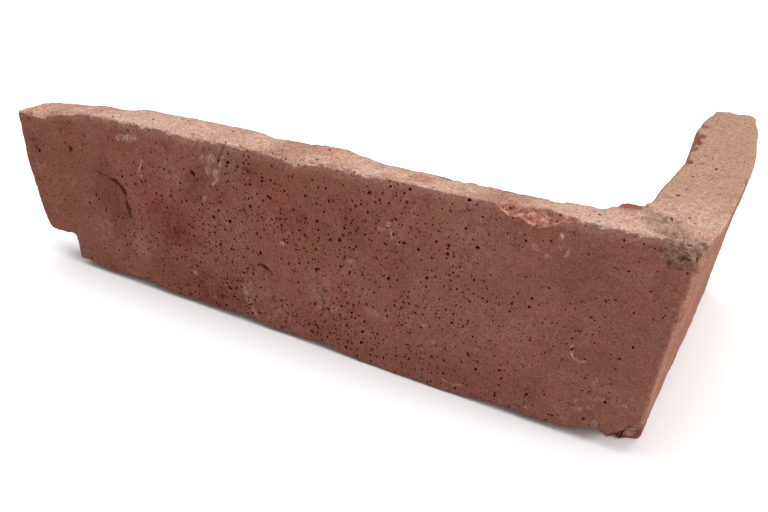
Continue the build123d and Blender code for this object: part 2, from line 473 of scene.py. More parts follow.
        # Fans join the fine column to the coarser sawn back
        fine = ids[:, -1]
        coarse = ring[backColumn]
        fans = []
        for cell in range(step):
            pivot = coarse[:-1] if cell < step // 2 else coarse[1:]
            fans.append(np.stack([fine[cell:-1:step], pivot, fine[cell + 1 :: step]], 1))
        fans.append(np.stack([fine[step // 2 : -1 : step], coarse[:-1], coarse[1:]], 1))
        fans = np.concatenate(fans)
        capFaces.append(quads if flip else quads[:, ::-1])
        triangles.append(fans if flip else fans[:, ::-1])
    points = np.concatenate([points, *caps])
    faces = np.concatenate([faces, *capFaces])
    triangles = np.concatenate(triangles)
    capSize = (rows - 1) * (across - 1)
    along = np.concatenate([along, np.zeros(capSize), np.full(capSize, walked[-1])])
    capDepth = np.tile(np.linspace(0, 1, across + 1)[1:-1], rows - 1)
    depthShare = np.concatenate([depthShare, capDepth, capDepth])
    unrolled = np.concatenate([unrolled, *capUnrolled])
    return points, faces, triangles, along, depthShare, unrolled, low, high


def vertexNormals(points, faces, triangles):
    # Area-weighted normal of every vertex, from the cross products of its faces
    quadNormal = np.cross(
        points[faces[:, 2]] - points[faces[:, 0]], points[faces[:, 3]] - points[faces[:, 1]]
    )
    triNormal = np.cross(
        points[triangles[:, 1]] - points[triangles[:, 0]],
        points[triangles[:, 2]] - points[triangles[:, 0]],
    )
    normals = np.zeros_like(points)
    for axis in range(3):
        total = np.zeros(len(points))
        for side in range(4):
            total += np.bincount(faces[:, side], quadNormal[:, axis], len(points))
        for side in range(3):
            total += np.bincount(triangles[:, side], triNormal[:, axis], len(points))
        normals[:, axis] = total
    return normals / np.maximum(np.linalg.norm(normals, axis=1, keepdims=True), 1e-9)


def wearOutline(points, along, depthShare, low, high):
    # Moves the plain L to its worn outline: sagging top, notch, hollows, leaning end, bowed header.
    # Each wear is an S-curve or a bell along the leg, times how near the point lies to its edge.
    x, y, z = points.T.copy()
    height = high.z - low.z
    cornerX = high.x - slip["cornerSetback"]
    longLeg = along < cornerX - low.x - 1
    upper = smoothStep(z, height - wear["topReach"], height)
    lower = 1 - smoothStep(z, 0, wear["footReach"])
    amount, size = wear["wobble"]
    wobble = gradientNoise(points * (1, 0.35, 0.35), size, 71) * amount
    raggedDepth, size = wear["raggedness"]
    ragged = layeredNoise(points * (1, 0.5, 0.5), size, 3, 73, 0.6)

    # Top bed: front edge, middle and back edge each sag on their own
    def sagging(name):
        start, full, amount = wear[name]
        return amount * (1 - smoothStep(x + wobble, full, start))

    start, fullStart, fullEnd, end, amount = wear["backRebate"]
    rebate = amount * smoothStep(x + wobble, start, fullStart) * (1 - smoothStep(x, fullEnd, end))
    front = sagging("frontSag") + sum(d * bell(x, c, w) for c, w, d in wear["frontDips"])
    back = sagging("backSag") + rebate + sum(d * bell(x, c, w) for c, w, d in wear["backDips"])
    back = back + raggedDepth * np.clip(ragged, 0, None) * smoothStep(x, -70, -30)
    middle = sagging("crownSag") + 0.35 * rebate
    drop = front + (middle - front) * smoothStep(depthShare, 0.0, 0.35)
    drop = drop + (back - drop) * smoothStep(depthShare, 0.5, 1.0)
    start, end, amount, share = wear["endTopFall"]
    behind = share + (1 - share) * smoothStep(depthShare, 0.0, 0.45)
    drop = drop + amount * (1 - smoothStep(x, end, start)) * behind
    z -= np.where(longLeg, drop, 0) * upper

    # Lower bed with the notch broken out of the free end; the front arris is worn, the bed behind less
    edge = wear["notchEdge"] + 0.6 * wobble
    place, halfWidth, crown = wear["notchCrown"]
    roof = wear["notchRoof"] + crown * bell(x, place, halfWidth) + 0.5 * wobble
    rise = roof * (1 - smoothStep(x, edge - 1.2, edge + 0.2))
    flare, fade = wear["notchFoot"]
    rise = np.maximum(rise, flare * np.exp(-np.clip(x - edge, 0, None) / fade))
    start, end, amount = wear["frontRise"]
    fading, faded, share = wear["riseDepth"]
    worn = amount * (1 - smoothStep(x, start, end)) * smoothStep(x, edge, edge + 4)
    worn = worn + sum(h * bell(x, c, w) for c, w, h in wear["bottomRises"])
    worn = np.clip(worn + 0.3 * ragged, 0, None)
    rise = rise + worn * (1 - share * smoothStep(depthShare * slip["thickness"], fading, faded))
    z += np.where(longLeg, rise, 0) * lower

    # Free end of the long leg leans in towards the bottom and ends in a nib over the notch
    top, length, depth, curve = wear["endLean"]
    lean = depth * np.clip((top - z) / length, 0, 1) ** curve
    nib = wear["endNib"] * np.exp(-np.clip(z - wear["notchRoof"], 0, None) / 1.6)
    x += np.where(longLeg, (lean + nib) * (1 - smoothStep(along, 0, 30)), 0)

    # Header face bows out at its top, falls in at its far top corner and has a knob below that
    rises, full, fullEnd, ends, bulge = wear["headerBow"]
    bow = bulge * smoothStep(y, rises, full) * (1 - smoothStep(y, fullEnd, ends)) * (z / height) ** 2
    start, end, amount = wear["headerEndFall"]
    bow = bow - amount * smoothStep(y, start, end) * smoothStep(z, 52, height + 5)
    level, halfHeight, knob = wear["headerEndKnob"]
    bow = bow + knob * bell(z, level, halfHeight) * smoothStep(y, start, end)
    x += np.where(longLeg, 0, bow * (1 - depthShare))
    start, end, amount = wear["headerTopFall"]
    z -= np.where(longLeg, 0, amount * smoothStep(y, start, end)) * upper
    atTop = smoothStep(z, 40, height)
    inner = sum(bulge * bell(y, centre, halfLength) for centre, halfLength, bulge in wear["backBulges"])
    x -= np.where(longLeg, 0, inner * depthShare * atTop)
    place, radius, push, amount = wear["cornerLump"]
    away = np.linalg.norm(np.stack([x, y, z], 1) - place, axis=1)
    swelling = amount * bell(away, 0, radius) * (1 + 0.5 * ragged)
    x, y, z = (value + swelling * share for value, share in zip((x, y, z), push))
    return np.stack([x, y, z], 1)


def carve(points):
    # Pushes every vertex inside a bite onto the far side of its ball, with a rough surface
    done = np.zeros(len(points))
    (coarseHeight, coarseSize), (fineHeight, fineSize) = relief["bites"]
    for centre, radius, away in slip["bites"]:
        axis = np.array(away, float) / np.linalg.norm(away)
        torn = coarseHeight * gradientNoise(points, coarseSize, 91)
        rough = radius + torn + fineHeight * gradientNoise(points, fineSize, 92)
        offset = points - centre
        height = offset @ axis
        radial = np.linalg.norm(offset - height[:, None] * axis, axis=1)
        reach = np.sqrt(np.maximum(rough**2 - radial**2, 0))
        push = np.where(radial < rough, np.maximum(height + reach, 0), 0)
        points = points - push[:, None] * axis
        done = np.maximum(done, smoothStep(push, 0.05, 0.6))
    return points, done


def addCrusts(points):
    # Small lumps stuck to the skin: a bell of the distance from each, along its own direction
    shown = np.zeros(len(points))
    for place, radius, swelling in marks["crusts"]:
        away = np.linalg.norm(points - place, axis=1) * (1 + 0.25 * gradientNoise(points, 2.0, 81))
        share = bell(away, 0, radius)
        points = points + share[:, None] * swelling
        shown = np.maximum(shown, smoothStep(share, 0.15, 0.6))
    return points, shown


def lineDistance(points, corners):
    # Distance of every point from a line of straight pieces
    nearest = np.full(len(points), 1e9)
    for start, end in zip(corners[:-1], corners[1:]):
        start = np.array(start, float)
        run = np.array(end, float) - start
        share = np.clip((points - start) @ run / (run @ run), 0, 1)
        nearest = np.minimum(nearest, np.linalg.norm(points - start - share[:, None] * run, axis=1))
    return nearest


def patches(points, places):
    # Sum of soft oval patches on the stretcher face, their rims warped by noise
    warpX = points[:, 0] + 5 * layeredNoise(points, 12, 3, 51)
    warpZ = points[:, 2] + 5 * layeredNoise(points, 12, 3, 53)
    total = np.zeros(len(points))
    for (placeX, placeZ), (halfX, halfZ), strength in places:
        total += strength * bell(warpX, placeX, halfX) * bell(warpZ, placeZ, halfZ)
    return np.clip(total, 0, 1)


def ovalDents(points, dents):
    # Sum of soft oval dents in the stretcher face, each turned by its slant
    total = np.zeros(len(points))
    for (placeX, placeZ), (halfA, halfB), slant, deep in dents:
        turn = math.radians(slant)
        offX, offZ = points[:, 0] - placeX, points[:, 2] - placeZ
        a = offX * math.cos(turn) + offZ * math.sin(turn)
        b = -offX * math.sin(turn) + offZ * math.cos(turn)
        total += deep * np.exp(-((a / halfA) ** 2) - (b / halfB) ** 2)
    return total


def scoreMarks(points, front):
    # Depth of the gouge, full on its line and fading beside it as a bell, plus that of the dents
    x, z = points[:, 0], points[:, 2]
    shake = 0.5 * gradientNoise(points, 2.6, 61)
    total = np.zeros(len(points))
    line = marks["gouge"]
    for (startX, startZ, startWidth, startDepth), (endX, endZ, endWidth, endDepth) in zip(line, line[1:]):
        runX, runZ = endX - startX, endZ - startZ
        share = ((x - startX) * runX + (z - startZ) * runZ) / (runX**2 + runZ**2)
        share = np.clip(share, 0, 1)
        off = np.hypot(x - startX - share * runX, z - startZ - share * runZ) + shake
        width = startWidth + share * (endWidth - startWidth)
        depth = startDepth + share * (endDepth - startDepth)
        total = np.maximum(total, depth * np.exp(-np.abs(off / width) ** 1.6))
    return (total + ovalDents(points, marks["dents"])) * front


def roughen(points, normals, masks):
    # Fired skin: every vertex moves along its normal by the sum of broad swells, hand-made lumps,
    # pocks, nibbled arrises and sandy grain, each a noise of its own height and size.
    # Saw cuts only get a faint waviness, and mortar stands up in crumbs.
    def waves(name, layers, seed, gain=0.5):
        height, size = relief[name][:2]
        return height * layeredNoise(points, size, layers, seed, gain)

    mortar, skin = masks["mortar"], 1 - masks["sawn"]
    grain = waves("grain", 3, 13, 0.7)
    pockDepth, pockSize, patchSize = relief["pocks"]
    ridged = np.abs(gradientNoise(points, pockSize, 23))
    pocked = smoothStep(gradientNoise(points, patchSize, 29), 0.1, 0.5)
    pocks = -pockDepth * smoothStep(0.10 - ridged, 0, 0.10) * pocked
    nibbleDepth, nibbleSize = relief["nibble"]
    nibbled = smoothStep(layeredNoise(points, nibbleSize, 4, 33, 0.6), 0.0, 0.8)
    crumbs = mortar * (waves("crumbs", 3, 37, 0.6) - relief["crumbs"][2])
    rough = 1 + relief["bedGrain"] * masks["bed"] + relief["brokenGrain"] * masks["broken"]
    rise = waves("swell", 2, 3) + waves("lumps", 3, 7) + pocks + rough * grain + crumbs
    rise = skin * (rise - nibbleDepth * masks["arris"] * nibbled - slip["skinDepth"])
    rise += masks["sawn"] * relief["sawnGrain"] * grain
    rise -= masks["scored"] + masks["front"] * ovalDents(points, marks["hollows"])
    return points + normals * rise[:, None]


def makeSlipObject():
    # Mesh of the slip: plain L, then worn, bitten, crusted and roughened, with its masks for the material
    points, faces, triangles, along, depthShare, unrolled, low, high = buildSlip()
    plainNormals = vertexNormals(points, faces, triangles)
    backX = high.x - slip["cornerSetback"] - slip["thickness"]
    inward = np.maximum(
        plainNormals[:, 1] * (points[:, 0] < backX) * (points[:, 1] > low.y + 8) * (points[:, 0] > low.x + 1),
        -plainNormals[:, 0] * (points[:, 1] > low.y + 8) * (points[:, 0] > low.x + 30),
    )
    masks = {
        "sawn": smoothStep(inward, 0.3, 0.75),
        "bed": smoothStep(plainNormals[:, 2], 0.3, 0.8),
        "header": smoothStep(plainNormals[:, 0], 0.4, 0.9),
        "front": smoothStep(-plainNormals[:, 1], 0.4, 0.9),
        "arris": smoothStep(1 - np.abs(plainNormals).max(axis=1), 0.02, 0.22),
        "rim": smoothStep(points[:, 2], high.z - 8, high.z) * (depthShare < 0.5),
        "shortBed": smoothStep(points[:, 1], low.y + 4, low.y + 45),
    }
    points = wearOutline(points, along, depthShare, low, high)
    points, masks["broken"] = carve(points)
    points, masks["crust"] = addCrusts(points)
    masks["wine"] = masks["front"] * patches(points, marks["wine"])
    masks["tan"] = masks["front"] * patches(points, marks["tan"])
    masks["shade"] = masks["front"] * patches(points, marks["shade"])
    away = lineDistance(points, marks["mortar"]) + 1.8 * layeredNoise(points, 5, 3, 57)
    masks["mortar"] = 1 - smoothStep(away, marks["mortarWidth"] - 1.6, marks["mortarWidth"] + 0.8)
    masks["scored"] = scoreMarks(points, masks["front"])
    onLongLeg = 1 - masks["shortBed"]
    masks["bedTone"] = onLongLeg * sum(d * bell(points[:, 0], c, w) for c, w, d in marks["bedTones"])
    masks["sandHang"] = sum(d * bell(points[:, 0], c, w) for c, w, d in marks["sandHangs"])
    normals = vertexNormals(points, faces, triangles)
    points = roughen(points, normals, masks)
    # The weathered skin stays inside the CAD box
    points = np.clip(points, np.array(low) + slip["margin"], np.array(high) - slip["margin"])

    mesh = bpy.data.meshes.new("weathered_slip")
    allFaces = faces.tolist() + triangles.tolist()
    mesh.from_pydata((points * millimetre).tolist(), [], allFaces)
    mesh.update()
    mesh.shade_smooth()
    for name in paintedMasks:
        layer = mesh.attributes.new(name, "FLOAT", "POINT")
        layer.data.foreach_set("value", masks[name].astype(np.float32))
    layer = mesh.attributes.new("unrolled", "FLOAT_VECTOR", "POINT")
    flat = np.concatenate([unrolled, np.zeros((len(unrolled), 1))], 1)
    layer.data.foreach_set("vector", flat.astype(np.float32).ravel())
    piece = bpy.data.objects.new("weathered_slip", mesh)
    bpy.context.scene.collection.objects.link(piece)
    print("slip mesh:", len(points), "vertices,", 2 * len(faces) + len(triangles), "triangles")
    return piece


slipPiece = makeSlipObject()
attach(slipPiece, "root")
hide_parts(slip["node"])

faceY = cadBox[0][1] / millimetre  # the stretcher face looks along -Y

# Colours of the fired skin, 0 to 255
clay = {
    "brown": (127, 82, 68),
    "red": (130, 79, 66),
    "tan": (119, 78, 60),
    "wine": (98, 49, 38),
    "mauve": (131, 89, 80),
    "olive": (128, 88, 68),
    # painted shade in and round the gouge and some dents, also used for other darker places of the skin
    "shade": (104, 61, 47),
    "bedSand": (180, 143, 125),
    "bedPale": (194, 160, 144),
    "bedRed": (166, 117, 97),
    "bedTan": (164, 130, 109),
    "bedRubbed": (150, 108, 88),
    "bedGrit": (128, 74, 56),
    "header": (146, 105, 88),
    "headerRed": (138, 90, 73),
    "sawn": (150, 96, 75),
    "sawnPale": (168, 122, 99),
    "broken": (182, 129, 110),
    "brokenRed": (144, 88, 72),
    "foot": (134, 98, 87),
    "footRed": (106, 66, 56),
    "mortar": (120, 90, 74),
    "mortarPale": (158, 130, 108),
    "mortarDark": (60, 38, 29),
    "crust": (64, 40, 32),
    "crustRed": (134, 76, 58),
    "lime": (178, 148, 138),
    # Painted shade of the pinholes: near black inside, dark brown at the rim
    "pit": (40, 6, 2),
    "pitRed": (78, 20, 10),
    "pitEdge": (92, 38, 26),
    # painted shade of the gouge and the dents, and the colour of the red grains
    "gritAndScoreShade": (60, 27, 19),
}


def linearColour(rgb):
    # 0 to 255 made linear light: straight near black, a power of 2.4 above
    share = np.array(rgb) / 255
    linear = np.where(share <= 0.04045, share / 12.92, ((share + 0.055) / 1.055) ** 2.4)
    return (*linear.tolist(), 1.0)


material = bpy.data.materials.new("fired_clay")
material.use_nodes = True
tree = material.node_tree
tree.nodes.clear()


def addNode(kind, settings=None, inputs=None):
    # One shader node: its settings, then each input as a link from another node or as a plain value
    made = tree.nodes.new(kind)
    for name, value in (settings or {}).items():
        setattr(made, name, value)
    for name, value in (inputs or {}).items():
        if isinstance(value, bpy.types.NodeSocket):
            tree.links.new(value, made.inputs[name])
        else:
            made.inputs[name].default_value = value
    return made


def combine(operation, first, second=0.0, third=0.0, clamp=False):
    # One sum of up to three values; MULTIPLY_ADD is first times second plus third
    inputs = {0: first, 1: second, 2: third}
    return addNode("ShaderNodeMath", {"operation": operation, "use_clamp": clamp}, inputs).outputs[0]


def times(first, second):
    # first x second
    return combine("MULTIPLY", first, second)


def plus(first, second):
    # first + second
    return combine("ADD", first, second)


def ramp(value, low, high):
    # 0 at low, 1 at high, an S-curve between; it falls where low is above high
    made = addNode(
        "ShaderNodeMapRange",
        {"interpolation_type": "SMOOTHSTEP"},
        {"Value": value, "From Min": low, "From Max": high},
    )
    return made.outputs["Result"]


def mixColour(share, first, second, blend="MIX"):
    # first at share 0, second at share 1, their blend between
    made = addNode(
        "ShaderNodeMix",
        {"data_type": "RGBA", "blend_type": blend},
        {"Factor": share, 6: first, 7: second},
    )
    return made.outputs[2]


def colourOf(name):
    # Linear colour of one of the clays
    return linearColour(clay[name])


coordinates = addNode("ShaderNodeTexCoord").outputs["Object"]
inMillimetres = addNode(
    "ShaderNodeVectorMath", {"operation": "SCALE"}, {0: coordinates, "Scale": 1 / millimetre}
).outputs[0]
splitPlace = addNode("ShaderNodeSeparateXYZ", inputs={0: inMillimetres})
placeX, placeY, placeZ = splitPlace.outputs


def noise(size, detail=2.0, roughness=0.5, shift=0.0, stretch=(1.0, 1.0, 1.0)):
    # Noise of 0 to 1 in the piece's own millimetres: size is the width of its waves
    place = addNode(
        "ShaderNodeMapping",
        {"vector_type": "POINT"},
        {"Vector": inMillimetres, "Location": (shift, shift, shift), "Scale": stretch},
    ).outputs[0]
    made = addNode(
        "ShaderNodeTexNoise",
        inputs={"Vector": place, "Scale": 1 / size, "Detail": detail, "Roughness": roughness},
    )
    return made.outputs["Fac"]


# Unrolled skin with a slight wobble, so that holes in it come out ragged
unrolledSkin = addNode("ShaderNodeAttribute", {"attribute_name": "unrolled"}).outputs["Vector"]
jitter = addNode("ShaderNodeTexNoise", inputs={"Vector": inMillimetres, "Scale": 1 / 1.1, "Detail": 2.0})
raggedSkin = addNode(
    "ShaderNodeVectorMath",
    {"operation": "MULTIPLY_ADD"},
    {0: jitter.outputs["Color"], 1: (0.9, 0.9, 0.9), 2: unrolledSkin},
).outputs[0]

holeSize = combine("MULTIPLY_ADD", ramp(placeX, 0.0, 90.0), -0.25, 1.0)  # smaller near the corner


def pinholes(cell, smallest, largest, density, stretch=1.0, slant=0.0):
    # Holes at the random points of a flat cell grid, with a radius and a tone drawn for each cell
    place = addNode(
        "ShaderNodeMapping",
        {"vector_type": "TEXTURE"},
        {"Vector": raggedSkin, "Rotation": (0.0, 0.0, math.radians(slant)), "Scale": (stretch, 1.0, 1.0)},
    ).outputs[0]
    made = addNode(
        "ShaderNodeTexVoronoi",
        {"voronoi_dimensions": "2D"},
        {"Vector": place, "Scale": 1 / cell, "Randomness": 1.0},
    )
    drawn = addNode("ShaderNodeSeparateColor", inputs={"Color": made.outputs["Color"]})
    present = combine("LESS_THAN", drawn.outputs[0], density)
    spread = combine("POWER", drawn.outputs[1], 2.0)
    radius = combine("MULTIPLY_ADD", spread, (largest - smallest) / cell, smallest / cell)
    radius = times(radius, holeSize)
    depth = combine("SUBTRACT", 1.0, combine("DIVIDE", made.outputs["Distance"], radius))
    tone = combine("MULTIPLY_ADD", drawn.outputs[2], 0.45, 0.55)
    return times(times(combine("MULTIPLY", depth, 4.5, clamp=True), present), tone)


def strongest(values):
    # The largest of several values
    result = values[0]
    for value in values[1:]:
        result = combine("MAXIMUM", result, value)
    return result


def onFace(place, halfSizes, slant):
    # Distance from a mark on the stretcher face, 1 at the rim of its oval in X and Z
    local = addNode(
        "ShaderNodeMapping",
        {"vector_type": "TEXTURE"},
        {
            "Vector": inMillimetres,
            "Location": (place[0], faceY, place[1]),
            "Rotation": (0.0, -math.radians(slant), 0.0),
            "Scale": (halfSizes[0], 4.0, halfSizes[1]),
        },
    ).outputs[0]
    return addNode("ShaderNodeVectorMath", {"operation": "LENGTH"}, {0: local}).outputs["Value"]


masks = {
    name: addNode("ShaderNodeAttribute", {"attribute_name": name}).outputs["Fac"] for name in paintedMasks
}
broad = noise(30, 4, 0.6)
patch = noise(12, 4, 0.62, 13.0)
blotch = noise(5.0, 4, 0.62, 31.0)
speck = noise(2.0, 3, 0.65, 9.0)
grain = noise(0.8, 3, 0.7)
fineGrain = noise(0.4, 2, 0.7, 5.0)

# Fired skin of the stretcher: brown to red, with wine, tan, mauve and olive patches
skin = mixColour(ramp(broad, 0.38, 0.62), colourOf("brown"), colourOf("red"))
skin = mixColour(times(ramp(patch, 0.50, 0.70), 0.75), skin, colourOf("mauve"))
skin = mixColour(times(ramp(blotch, 0.52, 0.72), 0.45), skin, colourOf("red"))
skin = mixColour(times(ramp(noise(17, 4, 0.6, 47.0), 0.54, 0.72), 0.35), skin, colourOf("wine"))
skin = mixColour(times(ramp(noise(9, 4, 0.6, 61.0), 0.52, 0.70), 0.5), skin, colourOf("olive"))
skin = mixColour(times(masks["tan"], 0.85), skin, colourOf("tan"))
wineShare = times(masks["wine"], ramp(blotch, 0.25, 0.60))
skin = mixColour(times(wineShare, 0.85), skin, colourOf("wine"))
# Painted shade: darker patches in and round the gouge and some dents, and other darker places of the skin
skin = mixColour(times(masks["shade"], 0.7), skin, colourOf("shade"))

# Beds keep the moulding sand, rubbed through to red in places, and the sand hangs over the arris
coarse = noise(3.2, 4, 0.7, 39.0)
bedSkin = mixColour(ramp(coarse, 0.42, 0.58), colourOf("bedSand"), colourOf("bedPale"))
bedSkin = mixColour(times(ramp(patch, 0.48, 0.66), 0.7), bedSkin, colourOf("bedRed"))
bedSkin = mixColour(times(ramp(blotch, 0.54, 0.68), 0.5), bedSkin, colourOf("bedRed"))
bedSkin = mixColour(times(ramp(masks["bedTone"], 0.0, 1.0), 0.75), bedSkin, colourOf("bedRubbed"))
bedSkin = mixColour(times(ramp(masks["bedTone"], 0.0, -1.0), 0.75), bedSkin, colourOf("bedPale"))
bedSkin = mixColour(times(masks["shortBed"], 0.85), bedSkin, colourOf("bedTan"))
bedSpecks = ramp(noise(1.0, 3, 0.75, 25.0, (1.0, 0.5, 1.0)), 0.42, 0.30)
bedSkin = mixColour(times(bedSpecks, 0.6), bedSkin, colourOf("bedGrit"))
headerSkin = mixColour(ramp(patch, 0.42, 0.66), colourOf("header"), colourOf("headerRed"))
headerSpecks = ramp(noise(1.2, 3, 0.75, 27.0), 0.56, 0.68)
headerSkin = mixColour(times(headerSpecks, 0.45), headerSkin, colourOf("bedSand"))
body = mixColour(masks["header"], skin, headerSkin)
hanging = noise(3.0, 4, 0.66, 19.0, (1.0, 1.0, 0.75))
sandRim = plus(masks["rim"], times(combine("SUBTRACT", hanging, 0.54), 0.62))
sandRim = plus(sandRim, masks["sandHang"])
sandRim = combine("SUBTRACT", sandRim, times(ramp(placeX, 20.0, 50.0), 0.055))
sandRim = combine("SUBTRACT", sandRim, times(ramp(placeX, -84.0, -104.0), 0.22))
overhang = times(ramp(sandRim, 0.92, 1.01), ramp(masks["rim"], 0.02, 0.3))
crumbly = plus(masks["bed"], times(combine("SUBTRACT", hanging, 0.5), 1.4))
onTop = times(ramp(crumbly, 0.22, 0.52), ramp(placeZ, 40.0, 50.0))
lip = times(ramp(masks["rim"], 0.70, 0.98), combine("SUBTRACT", 1.0, masks["bed"]))
bedSkin = mixColour(times(lip, 0.5), bedSkin, colourOf("bedPale"))
body = mixColour(combine("MAXIMUM", overhang, onTop), body, bedSkin)
# Dust below the hanging sand
dust = times(ramp(sandRim, 0.30, 0.95), combine("SUBTRACT", 1.0, combine("MAXIMUM", overhang, onTop)))
body = mixColour(times(dust, 0.19), body, bedSkin)
brokenTop = mixColour(ramp(speck, 0.44, 0.62), colourOf("brokenRed"), colourOf("broken"))
brokenFoot = mixColour(ramp(speck, 0.42, 0.60), colourOf("footRed"), colourOf("foot"))
brokenSkin = mixColour(ramp(placeZ, 25.0, 45.0), brokenFoot, brokenTop)
body = mixColour(times(masks["broken"], 0.85), body, brokenSkin)

# Saw cuts: cleaner orange clay with pale clots
sawnSkin = mixColour(ramp(noise(4.2, 4, 0.65, 71.0), 0.50, 0.66), colourOf("sawn"), colourOf("sawnPale"))
body = mixColour(masks["sawn"], body, sawnSkin)

# Painted shade: the gouge and the dents are coloured dark clay, the darker the deeper they are
body = mixColour(times(ramp(masks["scored"], 0.25, 1.1), 0.85), body, colourOf("gritAndScoreShade"))

# Sand, grit and grain over everything
grainTone = combine("MULTIPLY_ADD", grain, 1.2, -0.58)
grainTone = combine("MULTIPLY_ADD", speck, 0.45, grainTone)
grainTone = combine("MULTIPLY_ADD", fineGrain, 1.5, grainTone)
grainGrey = addNode("ShaderNodeCombineColor", inputs={0: grainTone, 1: grainTone, 2: grainTone}).outputs[0]
body = mixColour(1.0, body, grainGrey, "MULTIPLY")
redGrains = ramp(noise(0.7, 2, 0.6, 43.0), 0.56, 0.66)
body = mixColour(times(redGrains, 0.30), body, colourOf("gritAndScoreShade"))

# Lime wipes: place, half sizes, slant in degrees, strength
limeMarks = (
    ((-64.8, 61.1), (6.6, 1.4), 8, 0.8),
    ((-69.8, 60.0), (1.4, 1.2), 0, 0.5),
    ((-60.0, 51.2), (3.9, 0.5), 65, 0.9),
    ((-60.4, 47.5), (1.4, 0.6), 0, 0.8),
    ((-26.0, 60.4), (2.8, 1.8), 20, 0.8),
    ((-24.2, 55.0), (1.5, 2.8), 0, 0.9),
    ((-27.9, 56.0), (1.4, 1.8), 0, 0.7),
    ((-22.2, 59.6), (0.7, 3.4), -12, 0.8),
    ((-25.6, 51.8), (1.9, 0.8), 34, 0.6),
    ((-30.6, 60.0), (1.8, 0.9), 20, 0.4),
    ((-30.0, 45.2), (0.7, 1.1), 0, 1.0),
    ((-64.0, 18.0), (5.0, 7.0), 30, 0.25),
    ((-36.9, 14.4), (1.5, 1.4), 0, 0.7),
    ((-29.0, 6.5), (2.2, 1.0), 0, 0.5),
    ((-13.4, 13.7), (1.2, 2.6), 20, 0.8),
    ((-12.2, 9.9), (1.7, 1.1), 0, 0.8),
    ((-10.0, 6.4), (1.2, 2.4), 24, 0.6),
    ((2.5, 36.6), (1.2, 0.9), 0, 0.9),
    ((28.7, 36.7), (1.8, 1.2), 0, 0.4),
    ((24.0, 17.0), (2.2, 2.8), 10, 0.35),
    ((38.0, 21.0), (3.4, 1.5), -10, 0.4),
    ((41.0, 52.6), (0.7, 1.3), -20, 0.8),
    ((42.2, 49.8), (0.6, 1.8), 20, 0.9),
    ((38.8, 50.8), (1.6, 0.8), 0, 0.5),
    ((44.6, 47.2), (0.6, 1.0), 0, 0.6),
    ((56.2, 22.2), (1.2, 0.8), 0, 0.43),
    ((60.0, 17.2), (1.0, 0.8), 0, 0.5),
    ((61.8, 15.6), (1.2, 0.5), 0, 0.5),
    ((65.0, 4.5), (1.3, 0.5), -22, 0.5),
    ((69.2, 4.5), (2.5, 0.5), 12, 0.5),
    ((84.6, 56.6), (1.6, 0.6), -42, 0.9),
    ((88.2, 55.0), (1.0, 0.7), 0, 0.7),
    ((90.6, 61.4), (0.7, 1.4), 0, 1.0),
    ((90.7, 58.0), (0.7, 1.0), 0, 0.8),
    ((92.9, 57.2), (0.6, 1.6), -20, 0.8),
    ((91.3, 5.0), (1.2, 0.6), 0, 0.5),
    ((102.5, 5.7), (1.0, 0.8), 0, 0.58),
    ((104.3, 13.2), (0.8, 0.8), 0, 0.58),
    ((106.1, 10.7), (0.8, 0.9), 0, 0.58),
    ((108.2, 12.2), (0.8, 0.8), 0, 0.5),
    ((111.1, 7.8), (1.0, 1.4), 0, 0.5),
    ((111.1, 16.5), (0.8, 0.8), 0, 0.5),
    ((117.2, 16.6), (1.0, 0.7), 0, 0.5),
    ((108.2, 21.6), (0.5, 1.4), -14, 0.72),
)
wipes = strongest([times(ramp(onFace(*mark[:3]), 1.25, 0.35), mark[3]) for mark in limeMarks])

# A sickle-shaped scratch: the lower left part of a thin ring
ring = combine("ABSOLUTE", combine("SUBTRACT", onFace((102.6, 29.8), (2.8, 3.4), 0), 1.0))
sickle = times(ramp(ring, 0.20, 0.04), ramp(plus(placeX, placeZ), 132.4, 130.0))
wipes = combine("MAXIMUM", wipes, times(sickle, 0.75))
streaks = ramp(noise(0.8, 3, 0.75, 83.0, (1.0, 1.0, 0.45)), 0.44, 0.60)
wipes = times(wipes, combine("MULTIPLY_ADD", streaks, 0.85, 0.15))
body = mixColour(times(wipes, 0.9), body, colourOf("lime"))

# Dusty haze that lies over the stretcher in clouds
haze = times(ramp(noise(24, 5, 0.66, 91.0), 0.50, 0.72), ramp(speck, 0.30, 0.65))
haze = combine("MAXIMUM", haze, times(ramp(placeX, 10.0, 60.0), 0.25))
body = mixColour(times(haze, 0.16), body, colourOf("lime"))

# Mortar left on the corner, paler on the bed, with dark crumbs in it; along the front rim of the bed it stays
# darker as painted shade of the lump's steep front
mortarSkin = mixColour(ramp(coarse, 0.36, 0.60), colourOf("mortar"), colourOf("mortarPale"))
# Painted shade: near the front rim the mortar on the bed gets no paling and full crumbs
mortarTopPastRimShade = times(masks["bed"], ramp(placeY, -57.5, -54.0))
mortarSkin = mixColour(times(mortarTopPastRimShade, 0.4), mortarSkin, colourOf("bedSand"))
crumbs = ramp(noise(1.3, 3, 0.75, 97.0), 0.52, 0.42)
crumbShare = combine("MULTIPLY_ADD", mortarTopPastRimShade, -0.3, 0.75)
mortarSkin = mixColour(times(crumbs, crumbShare), mortarSkin, colourOf("mortarDark"))
body = mixColour(times(masks["mortar"], times(ramp(blotch, 0.28, 0.50), 0.8)), body, mortarSkin)
crustSkin = mixColour(ramp(placeX, 110.0, 114.0), colourOf("crustRed"), colourOf("crust"))
body = mixColour(times(masks["crust"], 0.85), body, crustSkin)

